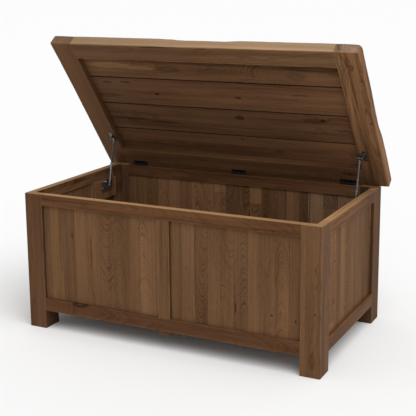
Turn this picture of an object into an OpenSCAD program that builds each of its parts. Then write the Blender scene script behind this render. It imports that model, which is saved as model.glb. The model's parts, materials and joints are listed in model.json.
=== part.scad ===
// Blanket chest: a frame-and-panel case on four posts, with a breadboard lid on three butt
// hinges that two telescopic stays hold open. The front looks along -Y and the chest stands on
// its four feet at z = 0. The origin is under the middle of the chest with its lid open.

/* [Case] */
// Width of the case over its posts
case_w = 1050; // [950:10:1150]
// Depth of the case from front to back
case_d = 585; // [540:5:640]
// Height of the case without the lid
case_h = 468; // [440:1:520]
// Width of a post, seen from the front
post_w = 65; // [60:1:75]
// Depth of a post, seen from the side
post_d = 73; // [65:1:80]
// Height of the rails' undersides above the floor
foot_h = 64; // [50:1:80]
// Height of the bottom rails
bottom_rail_h = 43; // [38:1:50]
// Height of the top rails
top_rail_h = 38; // [34:1:42]
// Thickness of all the rails and muntins
rail_t = 26; // [26:1:30]
// Width of the centre muntins
muntin_w = 42; // [36:1:60]

/* [Panels and floor] */
// Thickness of the wall panels
panel_t = 8; // [6:1:10]
// Distance from a rail's outer face to the panel's outer face
panel_inset = 10; // [8:1:10]
// Thickness of the floor panel
floor_t = 12; // [9:1:15]
// Width of the centre bearer
bearer_w = 40; // [30:1:60]
// How far the centre bearer stands below the bottom rails
bearer_drop = 12; // [8:1:16]

/* [Lid] */
// How far the lid is open at rest
lid_open = 53; // [50:1:56]
// Overhang of the lid at each side
lid_side_over = 26; // [15:1:30]
// Overhang of the lid at the front
lid_front_over = 21; // [10:1:30]
// Thickness of the lid frame
lid_t = 38; // [35:1:41]
// Thickness of the lid planks, which are flush with the top
plank_t = 18; // [16:1:19]
// Width of the end members
lid_end_w = 79; // [74:1:84]
// Width of the lid's front rail
lid_front_w = 64; // [55:1:75]
// Width of the lid's back rail
lid_back_w = 79; // [70:1:90]
// Width of each of the two middle planks, with one joint
middle_plank_w = 128; // [115:1:135]
// Open width of the joints between the planks
plank_gap = 4; // [2:0.5:5]
// Round of the lid's top edges
lid_round = 3; // [2:1:10]

/* [Hinges] */
// Distance from the back of the case to the hinge pins
hinge_inset = 10.5; // [9:0.5:11]
// Distance between the middle hinge and an outer one
hinge_pitch = 412; // [300:1:430]
// Length of a hinge along its pin
hinge_len = 56; // [50:1:70]
// Gap between the closed lid and the case
lid_gap = 6; // [6:0.5:8]

/* [Stays] */
// Distance from the hinge pins to the stay's pivots
stay_r = 143; // [138:1:146]
// Angle of the lower pivot below the hinge pins
stay_low_angle = 21; // [20:0.5:22]
// Depth of the upper pivot below the lid's underside
stay_drop = 12; // [11:0.5:13]
// Distance of the left stay from the chest's middle
stay_x = 472; // [472:1:472]
// How much nearer to its wall the right stay stands
right_stay_shift = 8; // [0:1:8]

/* [Colours] */
// Frame timber
frame_colour = "peru"; // [peru, burlywood, sienna]
// Panel timber
panel_colour = "burlywood"; // [peru, burlywood, sienna]
// Lid timber
lid_colour = "sandybrown"; // [peru, burlywood, sandybrown]

/* [Hidden] */
$fn = 48;

// Joinery of the case
tenon_t = 10;
tenon_len = 30;
tenon_shoulder = 5;
groove_depth = 8;
panel_tongue = 7;
bottom_rail_top = foot_h + bottom_rail_h;
top_rail_bottom = case_h - top_rail_h;
bottom_tenon = [foot_h + tenon_shoulder, bottom_rail_top - groove_depth];
top_tenon = [top_rail_bottom + groove_depth, case_h - tenon_shoulder];
post_x = case_w / 2 - post_w;
tenon_inset = panel_inset - 1;
back_seams = [-post_x - panel_tongue, 0.58 * post_x, 0.82 * post_x, post_x + panel_tongue];
seam_gap = 3;
seam_lap = 6;

// Floor
cleat_w = 20;
cleat_h = 18;
cleat_z = foot_h + 4;
floor_z = cleat_z + cleat_h;
floor_play = 1;
bearer_setback = 3;
bearer_z = foot_h - bearer_drop;
screw_r = 2;
screw_head_r = 4;

// Lid, drawn closed and then swung open about the hinge pins
pin_y = case_d - hinge_inset;
pin_z = case_h + lid_gap / 2;
lid_z = case_h + lid_gap;
lid_w = case_w + 2 * lid_side_over;
lid_front_y = -lid_front_over;
lid_back_over = 5.4;
lid_back_y = pin_y + lid_back_over;
lid_d = lid_back_y - lid_front_y;
lid_top = lid_z + lid_t;
lid_corner_r = 12;
end_x = lid_w / 2 - lid_end_w;
planks_y0 = lid_front_y + lid_front_w;
planks_y1 = lid_back_y - lid_back_w;
outer_plank_w = (planks_y1 - planks_y0) / 2 - middle_plank_w;
plank_y = [planks_y0, planks_y0 + outer_plank_w, planks_y0 + outer_plank_w + middle_plank_w,
           planks_y1 - outer_plank_w, planks_y1];
plank_tongue = 8;
tongue_t = 5;
tongue_z = lid_top - plank_t / 2 - tongue_t / 2;
lid_tenon_len = 40;
lid_tenon_t = 12;
lid_tenon_z = lid_z + 6;
lid_tenon_shoulder = 12;

// The chest is centred on its box, from the front face to the open lid's rounded back edge
back_reach = pin_y + (lid_back_over - lid_round) * cos(lid_open)
             + (lid_gap / 2 + lid_t - lid_round) * sin(lid_open) + lid_round;
mid_y = back_reach / 2;

// Butt hinges
leaf_t = 1.5;
leaf_reach = 15;
knuckle_r = lid_gap / 2 - 0.3;
pin_r = 1.5;
pin_play = 0.05;
knuckles = 5;
knuckle_gap = 0.3;
knuckle_len = (hinge_len - (knuckles - 1) * knuckle_gap) / knuckles;
leaf_clear = knuckle_r + 0.5;
leaf_screw_pitch = 19;
leaf_screw_y = 9.5;
leaf_screw_len = 14;
leaf_screw_head_r = 2.6;
leaf_screw_r = 1.4;

// Stays, laid out on a line from the lower pivot up to the upper one
stay_lift = atan2(stay_drop - lid_gap / 2, sqrt(stay_r * stay_r - pow(stay_drop - lid_gap / 2, 2)));
stay_spread = lid_open + stay_low_angle - stay_lift;
stay_len = 2 * stay_r * sin(stay_spread / 2);
low_y = pin_y - stay_r * cos(stay_low_angle);
low_z = pin_z - stay_r * sin(stay_low_angle);
stay_lean = stay_spread / 2 - stay_low_angle;
upper_reach = stay_r * cos(stay_lift);
rod_r = 3;
tube_r = 4.2;
slide_play = 0.06;
chamber_r = 3.6;
piston_r = 3.5;
tube_top = 75;
collar_r = 5;
collar_len = 4;
gland_len = 9;
tube_foot_r = 5.4;
tube_foot_len = 3;
swivel_r = 7.7;
swivel_half = 7.5;
trunnion_r = 3.5;
socket_r = 7;
socket_w = 9;
socket_hole_r = 4.8;
socket_neck_r = 4.3;
socket_neck = [6, 18];
rod_seat = 9;
upper_pin_r = 2.5;
upper_pin_head_r = 6;
bracket_t = 2;
flange_x = stay_x + 8;
block_x = 490;
block_front = low_y - 70;
block_z = low_z - 61;
lower_plate = [72, 44];
lower_plate_c = [low_y + 9, low_z - 12];
lower_plate_t = 2.5;
boss_r = 7;
rosette = [low_y + 26, low_z - 15];
rosette_r = 12;
lower_screws = [[low_y - 18, low_z + 2], [low_y - 18, low_z - 21], rosette];
upper_plate = [14, 44];
upper_screw_s = [10, 34];
dome_r = 4.5;

steel = "silver";
black = "dimgray";

// ---- helpers ----

// A box given by its two corners
module block(low, high) translate(low) cube(high - low);

// A cylinder along X from x0 to x1
module rod_x(x0, x1, y, z, r) translate([x0, y, z]) rotate([0, 90, 0]) cylinder(h = x1 - x0, r = r);

// Moves a piece of the case into the chest's frame
module placed() translate([0, -mid_y, 0]) children();

// Moves a piece of the lid, drawn closed, to its open place
module on_lid() placed() translate([0, pin_y, pin_z]) rotate([-lid_open, 0, 0])
    translate([0, -pin_y, -pin_z]) children();

// Places a part of a stay, drawn along +Z from the lower pivot at x = 0, on one side
module on_stay(side) placed() translate([side < 0 ? -stay_x : stay_x + right_stay_shift, low_y, low_z])
    rotate([-stay_lean, 0, 0]) children();

// Puts a fixed part of a stay, drawn at the left stay's distance, on one side
module at_stay(side) if (side < 0) mirror([1, 0, 0]) children(); else translate([right_stay_shift, 0, 0]) children();

// Mirrors a case part from the front to the back, or from the right to the left
module at_back() translate([0, case_d, 0]) mirror([0, 1, 0]) children();
module at_side(side) if (side < 0) mirror([1, 0, 0]) children(); else children();

module rounded_plate(size, r, t) linear_extrude(t) {
    square([size[0] - 2 * r, size[1]], center = true);
    square([size[0], size[1] - 2 * r], center = true);
    for (x = [-1, 1], y = [-1, 1]) translate([x * (size[0] / 2 - r), y * (size[1] / 2 - r)]) circle(r);
}

// ---- case joinery, drawn for the front right corner, the front and the right side ----

module front_tenon(z, grow = 0) block([post_x, tenon_inset, z[0]],
    [post_x + tenon_len + grow, tenon_inset + tenon_t, z[1]]);
module side_tenon(z, grow = 0) block([case_w / 2 - tenon_inset - tenon_t, post_d - tenon_len - grow, z[0]],
    [case_w / 2 - tenon_inset, post_d, z[1]]);

// A square foot that carries two legs, each as thick as a rail, above the floor panel
module post() difference() {
    block([post_x, 0, 0], [case_w / 2, post_d, case_h]);
    block([post_x - 1, rail_t, floor_z + floor_t], [case_w / 2 - rail_t, post_d + 1, case_h + 1]);
    for (z = [bottom_tenon, top_tenon]) {
        front_tenon(z, 1);
        side_tenon(z, 1);
    }
    block([post_x - 1, panel_inset, bottom_rail_top - groove_depth],
          [post_x + groove_depth, panel_inset + panel_t, top_rail_bottom + groove_depth]);
    block([case_w / 2 - panel_inset - panel_t, post_d - groove_depth, bottom_rail_top - groove_depth],
          [case_w / 2 - panel_inset, post_d + 1, top_rail_bottom + groove_depth]);
}

// A front or back rail with a groove for the panels on its inner edge
module long_rail(z0, z1, tenon, groove_z) difference() {
    union() {
        block([-post_x, 0, z0], [post_x, rail_t, z1]);
        for (side = [-1, 1]) at_side(side) front_tenon(tenon);
    }
    block([-post_x - 1, panel_inset, groove_z],
          [post_x + 1, panel_inset + panel_t, groove_z + groove_depth]);
}

// A side rail of the right side, with its panel groove
module short_rail(z0, z1, tenon, groove_z) difference() {
    union() {
        block([case_w / 2 - rail_t, post_d, z0], [case_w / 2, case_d - post_d, z1]);
        side_tenon(tenon);
        at_back() side_tenon(tenon);
    }
    block([case_w / 2 - panel_inset - panel_t, post_d - 1, groove_z],
          [case_w / 2 - panel_inset, case_d - post_d + 1, groove_z + groove_depth]);
}

module long_bottom_rail() difference() {
    long_rail(foot_h, bottom_rail_top, bottom_tenon, bottom_rail_top - groove_depth);
    bearer_screw_shank();
}
module long_top_rail() long_rail(top_rail_bottom, case_h, top_tenon, top_rail_bottom);
module side_bottom_rail() short_rail(foot_h, bottom_rail_top, bottom_tenon, bottom_rail_top - groove_depth);
module side_top_rail() short_rail(top_rail_bottom, case_h, top_tenon, top_rail_bottom);

// A centre muntin with short tongues in the rails' grooves and a groove down each side
module muntin() difference() {
    union() {
        block([-muntin_w / 2, 0, bottom_rail_top], [muntin_w / 2, rail_t, top_rail_bottom]);
        block([-muntin_w / 2 + groove_depth, panel_inset, bottom_rail_top - panel_tongue],
              [muntin_w / 2 - groove_depth, panel_inset + panel_t, top_rail_bottom + panel_tongue]);
    }
    for (side = [-1, 1]) at_side(side)
        block([muntin_w / 2 - groove_depth, panel_inset, bottom_rail_top - groove_depth],
              [muntin_w / 2 + 1, panel_inset + panel_t, top_rail_bottom + groove_depth]);
}

module long_panel() block([muntin_w / 2 - panel_tongue, panel_inset, bottom_rail_top - panel_tongue],
    [post_x + panel_tongue, panel_inset + panel_t, top_rail_bottom + panel_tongue]);

// One of the three lapped boards of the back: its inner half, and its outer half one lap further on
module back_board(i) {
    x0 = back_seams[i] + (i == 0 ? 0 : seam_gap / 2);
    x1 = back_seams[i + 1] - (i == 2 ? 0 : seam_gap / 2);
    inner_y = case_d - panel_inset - panel_t;
    z0 = bottom_rail_top - panel_tongue;
    z1 = top_rail_bottom + panel_tongue;
    block([x0, inner_y, z0], [x1, inner_y + panel_t / 2, z1]);
    block([x0 + (i == 0 ? 0 : seam_lap), inner_y + panel_t / 2, z0],
          [x1 + (i == 2 ? 0 : seam_lap), inner_y + panel_t, z1]);
}

module side_panel() block(
    [case_w / 2 - panel_inset - panel_t, post_d - panel_tongue, bottom_rail_top - panel_tongue],
    [case_w / 2 - panel_inset, case_d - post_d + panel_tongue, top_rail_bottom + panel_tongue]);

// ---- case nodes ----

module front_left_post() color(frame_colour) placed() at_side(-1) post();
module front_right_post() color(frame_colour) placed() post();
module rear_left_post() color(frame_colour) placed() at_side(-1) at_back() post();
module rear_right_post() color(frame_colour) placed() at_back() post();
module front_top_rail() color(frame_colour) placed() long_top_rail();
module front_bottom_rail() color(frame_colour) placed() long_bottom_rail();
module front_muntin() color(frame_colour) placed() muntin();
module front_left_panel() color(panel_colour) placed() at_side(-1) long_panel();
module front_right_panel() color(panel_colour) placed() long_panel();
module back_top_rail() color(frame_colour) placed() difference() {
    at_back() long_top_rail();
    case_leaf_screws();
}
module back_bottom_rail() color(frame_colour) placed() at_back() long_bottom_rail();
module back_left_panel() color(panel_colour) placed() back_board(0);
module back_middle_panel() color(panel_colour) placed() back_board(1);
module back_right_panel() color(panel_colour) placed() back_board(2);
module left_top_rail() color(frame_colour) placed() at_side(-1) side_top_rail();
module left_bottom_rail() color(frame_colour) placed() at_side(-1) side_bottom_rail();
module left_panel() color(panel_colour) placed() at_side(-1) side_panel();
module right_top_rail() color(frame_colour) placed() side_top_rail();
module right_bottom_rail() color(frame_colour) placed() side_bottom_rail();
module right_panel() color(panel_colour) placed() side_panel();

// ---- floor ----

module floor_panel() color(panel_colour) placed() difference() {
    block([-case_w / 2 + rail_t + floor_play, rail_t + floor_play, floor_z],
          [case_w / 2 - rail_t - floor_play, case_d - rail_t - floor_play, floor_z + floor_t]);
    for (x = [-1, 1]) at_side(x) {
        floor_notch();
        at_back() floor_notch();
    }
}
module floor_notch() block([post_x - floor_play, 0, floor_z - 1],
    [case_w / 2, post_d + floor_play, floor_z + floor_t + 1]);

module floor_cleat() block([-post_x + floor_play, rail_t, cleat_z],
    [post_x - floor_play, rail_t + cleat_w, floor_z]);
module front_floor_cleat() color(frame_colour) placed() floor_cleat();
module back_floor_cleat() color(frame_colour) placed() at_back() floor_cleat();

module centre_bearer() color(frame_colour) placed() difference() {
    union() {
        block([-bearer_w / 2, bearer_setback, bearer_z],
              [bearer_w / 2, case_d - bearer_setback, foot_h]);
        block([-bearer_w / 2, rail_t + cleat_w, bearer_z],
              [bearer_w / 2, case_d - rail_t - cleat_w, floor_z]);
    }
    bearer_screw_shank();
    at_back() bearer_screw_shank();
}

module bearer_screw_shank() {
    translate([0, bearer_setback + 10, bearer_z]) cylinder(h = 38, r = screw_r);
    translate([0, bearer_setback + 10, bearer_z]) cylinder(h = 3, r = screw_head_r);
}
module bearer_screws() color(steel) placed() {
    bearer_screw_shank();
    at_back() bearer_screw_shank();
}

// ---- lid ----

// The whole lid's outline with its rounded top edges and plan corners
module lid_blank() intersection() {
    translate([0, lid_front_y + lid_d / 2, lid_z])
        rounded_plate([lid_w, lid_d], lid_corner_r, lid_t);
    translate([-lid_w / 2, 0, 0]) rotate([90, 0, 90]) linear_extrude(lid_w)
        edge_profile(lid_front_y, lid_back_y);
    translate([0, lid_back_y, 0]) rotate([90, 0, 0]) linear_extrude(lid_d)
        edge_profile(-lid_w / 2, lid_w / 2);
}

// A section from a to b across the lid: round at the top, square below
module edge_profile(a, b) {
    translate([a, lid_z]) square([b - a, lid_t - lid_round]);
    translate([a + lid_round, lid_z]) square([b - a - 2 * lid_round, lid_t]);
    for (x = [a + lid_round, b - lid_round]) translate([x, lid_top - lid_round]) circle(lid_round);
}

module lid_tenon(y0, y1, grow = 0) block([end_x, y0, lid_tenon_z],
    [end_x + lid_tenon_len + grow, y1, lid_tenon_z + lid_tenon_t]);
module front_lid_tenon(grow = 0) lid_tenon(lid_front_y + lid_tenon_shoulder,
    planks_y0 - lid_tenon_shoulder, grow);
module back_lid_tenon(grow = 0) lid_tenon(planks_y1 + lid_tenon_shoulder,
    lid_back_y - lid_tenon_shoulder, grow);

module lid_end(shift) difference() {
    intersection() {
        lid_blank();
        block([end_x, lid_front_y, lid_z], [lid_w / 2, lid_back_y, lid_top]);
    }
    front_lid_tenon(1);
    back_lid_tenon(1);
    block([end_x - 1, planks_y0 - plank_tongue, tongue_z],
          [end_x + plank_tongue + 1, planks_y1 + plank_tongue, tongue_z + tongue_t]);
    translate([shift, 0, 0]) upper_screw_shanks();
}

module lid_left_end() color(lid_colour) on_lid() at_side(-1) lid_end(0);
module lid_right_end() color(lid_colour) on_lid() lid_end(right_stay_shift);

module lid_front_rail() color(lid_colour) on_lid() difference() {
    union() {
        intersection() {
            lid_blank();
            block([-end_x, lid_front_y, lid_z], [end_x, planks_y0, lid_top]);
        }
        for (side = [-1, 1]) at_side(side) front_lid_tenon();
    }
    block([-end_x, planks_y0 - plank_tongue - 1, tongue_z], [end_x, planks_y0 + 1, tongue_z + tongue_t]);
}

module lid_back_rail() color(lid_colour) on_lid() difference() {
    union() {
        intersection() {
            lid_blank();
            block([-end_x, planks_y1, lid_z], [end_x, lid_back_y, lid_top]);
        }
        for (side = [-1, 1]) at_side(side) back_lid_tenon();
    }
    block([-end_x, planks_y1 - 1, tongue_z], [end_x, planks_y1 + plank_tongue + 1, tongue_z + tongue_t]);
    lid_leaf_screws();
}

// One lid plank: a tongue at its front edge and ends, a groove at its back edge
module lid_plank(i) difference() {
    first = i == 0;
    last = i == 3;
    front = plank_y[i] + (first ? 0 : plank_gap / 2);
    back = plank_y[i + 1] - (last ? 0 : plank_gap / 2);
    union() {
        block([-end_x, front, lid_top - plank_t], [end_x, back, lid_top]);
        block([-end_x - plank_tongue, front, tongue_z], [end_x + plank_tongue, back, tongue_z + tongue_t]);
        block([-end_x, front - plank_tongue, tongue_z], [end_x, front, tongue_z + tongue_t]);
        if (last) block([-end_x, back, tongue_z], [end_x, back + plank_tongue, tongue_z + tongue_t]);
    }
    if (!last) block([-end_x - plank_tongue - 1, back + plank_gap - plank_tongue - 1, tongue_z],
        [end_x + plank_tongue + 1, back + 1, tongue_z + tongue_t]);
}

module lid_plank_1() color(lid_colour) on_lid() lid_plank(0);
module lid_plank_2() color(lid_colour) on_lid() lid_plank(1);
module lid_plank_3() color(lid_colour) on_lid() lid_plank(2);
module lid_plank_4() color(lid_colour) on_lid() lid_plank(3);

// ---- hinges ----

function knuckle_x(k) = -hinge_len / 2 + k * (knuckle_len + knuckle_gap);

// A leaf with its pin along X at the origin. up = 1 is the lid's leaf and -1 the case's
module hinge_leaf(up) difference() {
    union() {
        block([-hinge_len / 2, -leaf_reach, up > 0 ? lid_gap / 2 - leaf_t : -lid_gap / 2],
              [hinge_len / 2, -leaf_clear, up > 0 ? lid_gap / 2 : leaf_t - lid_gap / 2]);
        for (k = [0 : knuckles - 1]) if ((k % 2 == 0) == (up < 0)) {
            rod_x(knuckle_x(k), knuckle_x(k) + knuckle_len, 0, 0, knuckle_r);
            block([knuckle_x(k), -leaf_clear, up > 0 ? lid_gap / 2 - leaf_t : -knuckle_r],
                  [knuckle_x(k) + knuckle_len, 0, up > 0 ? knuckle_r : leaf_t - lid_gap / 2]);
        }
    }
    rod_x(-hinge_len, hinge_len, 0, 0, pin_r + pin_play);
    leaf_screws_at(up);
}

// Three countersunk screws of one leaf, heads flush with its open face
module leaf_screws_at(up) for (x = [-1 : 1]) translate([x * leaf_screw_pitch, -leaf_screw_y, 0])
    mirror([0, 0, up > 0 ? 0 : 1]) translate([0, 0, lid_gap / 2 - leaf_t]) {
        cylinder(h = 1, r = leaf_screw_head_r);
        cylinder(h = leaf_screw_len, r = leaf_screw_r);
    }

module at_hinge(i) translate([i * hinge_pitch, pin_y, pin_z]) children();
module case_leaf_screws() for (i = [-1 : 1]) at_hinge(i) leaf_screws_at(-1);
module lid_leaf_screws() for (i = [-1 : 1]) at_hinge(i) leaf_screws_at(1);

module left_hinge_case_leaf() color(black) placed() at_hinge(-1) hinge_leaf(-1);
module centre_hinge_case_leaf() color(black) placed() at_hinge(0) hinge_leaf(-1);
module right_hinge_case_leaf() color(black) placed() at_hinge(1) hinge_leaf(-1);
module left_hinge_lid_leaf() color(black) on_lid() at_hinge(-1) hinge_leaf(1);
module centre_hinge_lid_leaf() color(black) on_lid() at_hinge(0) hinge_leaf(1);
module right_hinge_lid_leaf() color(black) on_lid() at_hinge(1) hinge_leaf(1);
module hinge_pins() color(black) placed() for (i = [-1 : 1]) at_hinge(i)
    rod_x(-hinge_len / 2, hinge_len / 2, 0, 0, pin_r);
module hinge_case_screws() color(steel) placed() case_leaf_screws();
module hinge_lid_screws() color(steel) on_lid() lid_leaf_screws();

// ---- stays ----

// Upper bracket of the right stay, drawn on the closed lid: a slotted plate, a flange and a pin
module upper_bracket() difference() {
    pivot_y = pin_y - upper_reach;
    pivot_z = lid_z - stay_drop;
    union() {
        translate([flange_x + upper_plate[0] / 2, pivot_y, lid_z - bracket_t])
            rounded_plate(upper_plate, 3, bracket_t);
        block([flange_x, pivot_y - 9, pivot_z], [flange_x + bracket_t, pivot_y + 9, lid_z - bracket_t]);
        rod_x(flange_x, flange_x + bracket_t, pivot_y, pivot_z, 9);
        rod_x(stay_x + socket_w / 2 + 0.7, flange_x, pivot_y, pivot_z, upper_pin_head_r);
        rod_x(stay_x - socket_w / 2 - 0.7, flange_x, pivot_y, pivot_z, upper_pin_r);
        rod_x(stay_x - socket_w / 2 - 2.7, stay_x - socket_w / 2 - 0.7, pivot_y, pivot_z, upper_pin_head_r);
    }
    upper_screw_shanks();
}

module upper_screw_shanks() for (s = upper_screw_s)
    translate([flange_x + upper_plate[0] / 2 + 1, pin_y - upper_reach - upper_plate[1] / 2 + s,
               lid_z - bracket_t]) cylinder(h = 18, r = screw_r);

module upper_screws() {
    upper_screw_shanks();
    for (s = upper_screw_s)
        translate([flange_x + upper_plate[0] / 2 + 1, pin_y - upper_reach - upper_plate[1] / 2 + s,
                   lid_z - bracket_t - 2]) cylinder(h = 2, r = screw_head_r);
}

module stay_block(shift) difference() {
    block([block_x + shift, block_front, block_z],
          [case_w / 2 - panel_inset - panel_t, case_d - post_d, top_rail_bottom]);
    translate([shift, 0, 0]) lower_screw_shanks();
}

// Lower bracket of the right stay: a plate, a bored boss for the swivel and a round rosette
module lower_bracket() difference() {
    union() {
        translate([block_x, lower_plate_c[0], lower_plate_c[1]]) rotate([0, -90, 0])
            rounded_plate([lower_plate[1], lower_plate[0]], 8, lower_plate_t);
        rod_x(stay_x + swivel_r + 0.8, block_x, low_y, low_z, boss_r);
        rod_x(block_x - lower_plate_t - 2, block_x, rosette[0], rosette[1], rosette_r);
    }
    rod_x(stay_x, block_x + 1, low_y, low_z, trunnion_r + slide_play);
    lower_screw_shanks();
}

module lower_screw_shanks() for (p = lower_screws)
    rod_x(block_x - lower_plate_t - 2, block_x + 8, p[0], p[1], screw_r);

module lower_screw_set() {
    lower_screw_shanks();
    for (p = lower_screws) {
        seat = block_x - lower_plate_t - (p == rosette ? 2 : 0);
        rod_x(seat - 2.5, seat, p[0], p[1], dome_r);
    }
}

// Swivel: a short sleeve that the tube slides through, with a trunnion towards the wall
module swivel(side) difference() {
    union() {
        translate([0, 0, -swivel_half]) cylinder(h = 2 * swivel_half, r = swivel_r);
        rotate([0, 90 * side, 0]) cylinder(h = block_x - stay_x - 0.5, r = trunnion_r);
    }
    translate([0, 0, -swivel_half - 1]) cylinder(h = 2 * swivel_half + 2, r = tube_r + slide_play);
}

// Tube: a stop foot below the swivel, a hollow chamber and a bored gland with a collar on top
module tube() difference() {
    union() {
        translate([0, 0, -swivel_half - 0.3 - tube_foot_len]) cylinder(h = tube_foot_len, r = tube_foot_r);
        translate([0, 0, -swivel_half - 1]) cylinder(h = tube_top + swivel_half + 1, r = tube_r);
        translate([0, 0, tube_top - collar_len]) cylinder(h = collar_len, r = collar_r);
    }
    translate([0, 0, -5]) cylinder(h = tube_top - gland_len + 5, r = chamber_r);
    translate([0, 0, -5]) cylinder(h = tube_top + 6, r = rod_r + slide_play);
}

// Rod: the piston inside the tube and the bright rod above it
module rod() {
    translate([0, 0, tube_top - gland_len - 6]) cylinder(h = 4, r = piston_r);
    translate([0, 0, tube_top - gland_len - 6])
        cylinder(h = stay_len - rod_seat - tube_top + gland_len + 6, r = rod_r);
}

// Socket: an eye round the upper pin, with a neck that holds the rod
module socket() difference() {
    translate([0, 0, stay_len]) union() {
        rod_x(-socket_w / 2, socket_w / 2, 0, 0, socket_r);
        translate([0, 0, -socket_neck[1]]) cylinder(h = socket_neck[1] - socket_neck[0], r = socket_neck_r);
    }
    translate([0, 0, stay_len]) rod_x(-socket_w, socket_w, 0, 0, socket_hole_r);
    translate([0, 0, stay_len - socket_neck[1] - 1])
        cylinder(h = socket_neck[1] + 1 - rod_seat, r = rod_r);
}

module left_stay_block() color(frame_colour) placed() at_side(-1) stay_block(0);
module right_stay_block() color(frame_colour) placed() stay_block(right_stay_shift);
module left_stay_upper_bracket() color(steel) on_lid() at_stay(-1) upper_bracket();
module right_stay_upper_bracket() color(steel) on_lid() at_stay(1) upper_bracket();
module left_stay_lower_bracket() color(steel) placed() at_stay(-1) lower_bracket();
module right_stay_lower_bracket() color(steel) placed() at_stay(1) lower_bracket();
module stay_lid_screws() color(steel) on_lid() for (side = [-1, 1]) at_stay(side) upper_screws();
module stay_case_screws() color(steel) placed() for (side = [-1, 1]) at_stay(side) lower_screw_set();
module left_stay_swivel() color(steel) on_stay(-1) swivel(-1);
module right_stay_swivel() color(steel) on_stay(1) swivel(1);
module left_stay_tube() color(steel) on_stay(-1) tube();
module right_stay_tube() color(steel) on_stay(1) tube();
module left_stay_rod() color(steel) on_stay(-1) rod();
module right_stay_rod() color(steel) on_stay(1) rod();
module left_stay_socket() color(steel) on_stay(-1) socket();
module right_stay_socket() color(steel) on_stay(1) socket();

front_left_post();
front_right_post();
rear_left_post();
rear_right_post();
front_top_rail();
front_bottom_rail();
front_muntin();
front_left_panel();
front_right_panel();
back_top_rail();
back_bottom_rail();
back_left_panel();
back_middle_panel();
back_right_panel();
left_top_rail();
left_bottom_rail();
left_panel();
right_top_rail();
right_bottom_rail();
right_panel();
floor_panel();
front_floor_cleat();
back_floor_cleat();
centre_bearer();
bearer_screws();
left_stay_block();
right_stay_block();
lid_left_end();
lid_right_end();
lid_front_rail();
lid_back_rail();
lid_plank_1();
lid_plank_2();
lid_plank_3();
lid_plank_4();
left_hinge_case_leaf();
centre_hinge_case_leaf();
right_hinge_case_leaf();
left_hinge_lid_leaf();
centre_hinge_lid_leaf();
right_hinge_lid_leaf();
hinge_pins();
hinge_case_screws();
hinge_lid_screws();
left_stay_upper_bracket();
right_stay_upper_bracket();
left_stay_lower_bracket();
right_stay_lower_bracket();
stay_lid_screws();
stay_case_screws();
left_stay_swivel();
right_stay_swivel();
left_stay_tube();
right_stay_tube();
left_stay_rod();
right_stay_rod();
left_stay_socket();
right_stay_socket();
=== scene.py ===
import json
import math

import bpy
from mathutils import Matrix, Vector, noise


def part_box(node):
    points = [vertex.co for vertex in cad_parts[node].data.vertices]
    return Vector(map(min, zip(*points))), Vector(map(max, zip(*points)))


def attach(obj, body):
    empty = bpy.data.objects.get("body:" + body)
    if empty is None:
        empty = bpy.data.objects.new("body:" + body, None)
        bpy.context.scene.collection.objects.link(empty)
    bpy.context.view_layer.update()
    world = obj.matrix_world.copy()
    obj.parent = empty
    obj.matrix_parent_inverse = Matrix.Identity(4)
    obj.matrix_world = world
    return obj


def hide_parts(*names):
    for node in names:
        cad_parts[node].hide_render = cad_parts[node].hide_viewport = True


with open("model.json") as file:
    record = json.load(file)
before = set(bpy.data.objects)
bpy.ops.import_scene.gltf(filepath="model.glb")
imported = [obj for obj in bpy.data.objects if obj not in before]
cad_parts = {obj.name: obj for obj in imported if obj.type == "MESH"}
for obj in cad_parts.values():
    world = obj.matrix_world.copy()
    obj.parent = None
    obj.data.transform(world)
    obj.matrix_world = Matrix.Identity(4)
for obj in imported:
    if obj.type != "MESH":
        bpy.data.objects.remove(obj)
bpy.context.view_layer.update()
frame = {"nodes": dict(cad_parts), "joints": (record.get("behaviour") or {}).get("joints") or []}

MM = 0.001
X_AXIS, Y_AXIS, Z_AXIS = Vector((1, 0, 0)), Vector((0, 1, 0)), Vector((0, 0, 1))

# ---------------------------------------------------------------------------
# Camera
# ---------------------------------------------------------------------------

CAMERA_FROM_FRONT = (1.4099, -2.5003, 1.1755)   # from the middle of the front face's foot
CAMERA_YAW = -26.56        # degrees from +Y towards +X
CAMERA_PITCH = 11.63       # degrees below the horizon
CAMERA_ROLL = 0.45         # degrees
CAMERA_LENS = 82.32        # millimetres, as is the sensor
CAMERA_SENSOR = 36
CAMERA_SHIFT_UP = -0.0888  # share of the sensor's width
CAMERA_REACH = 200         # metres


def make_camera():
    """Places the camera in front of the chest, to its right and a little above it."""
    yaw, pitch, roll = (math.radians(a) for a in (CAMERA_YAW, CAMERA_PITCH, CAMERA_ROLL))
    ahead = Vector((math.sin(yaw) * math.cos(pitch), math.cos(yaw) * math.cos(pitch), -math.sin(pitch)))
    level = Vector((math.cos(yaw), -math.sin(yaw), 0))
    down = ahead.cross(level)
    right = math.cos(roll) * level + math.sin(roll) * down
    up = math.sin(roll) * level - math.cos(roll) * down
    data = bpy.data.cameras.new("camera")
    data.lens = CAMERA_LENS
    data.sensor_width = CAMERA_SENSOR
    data.shift_y = CAMERA_SHIFT_UP
    data.clip_end = CAMERA_REACH
    camera = bpy.data.objects.new("camera", data)
    turn = Matrix((right, up, -ahead)).transposed()
    front = Vector((0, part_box("front_left_post")[0].y, 0))
    camera.matrix_world = Matrix.Translation(front + Vector(CAMERA_FROM_FRONT)) @ turn.to_4x4()
    bpy.context.scene.collection.objects.link(camera)
    bpy.context.scene.camera = camera


# ---------------------------------------------------------------------------
# Node trees
# ---------------------------------------------------------------------------


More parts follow.
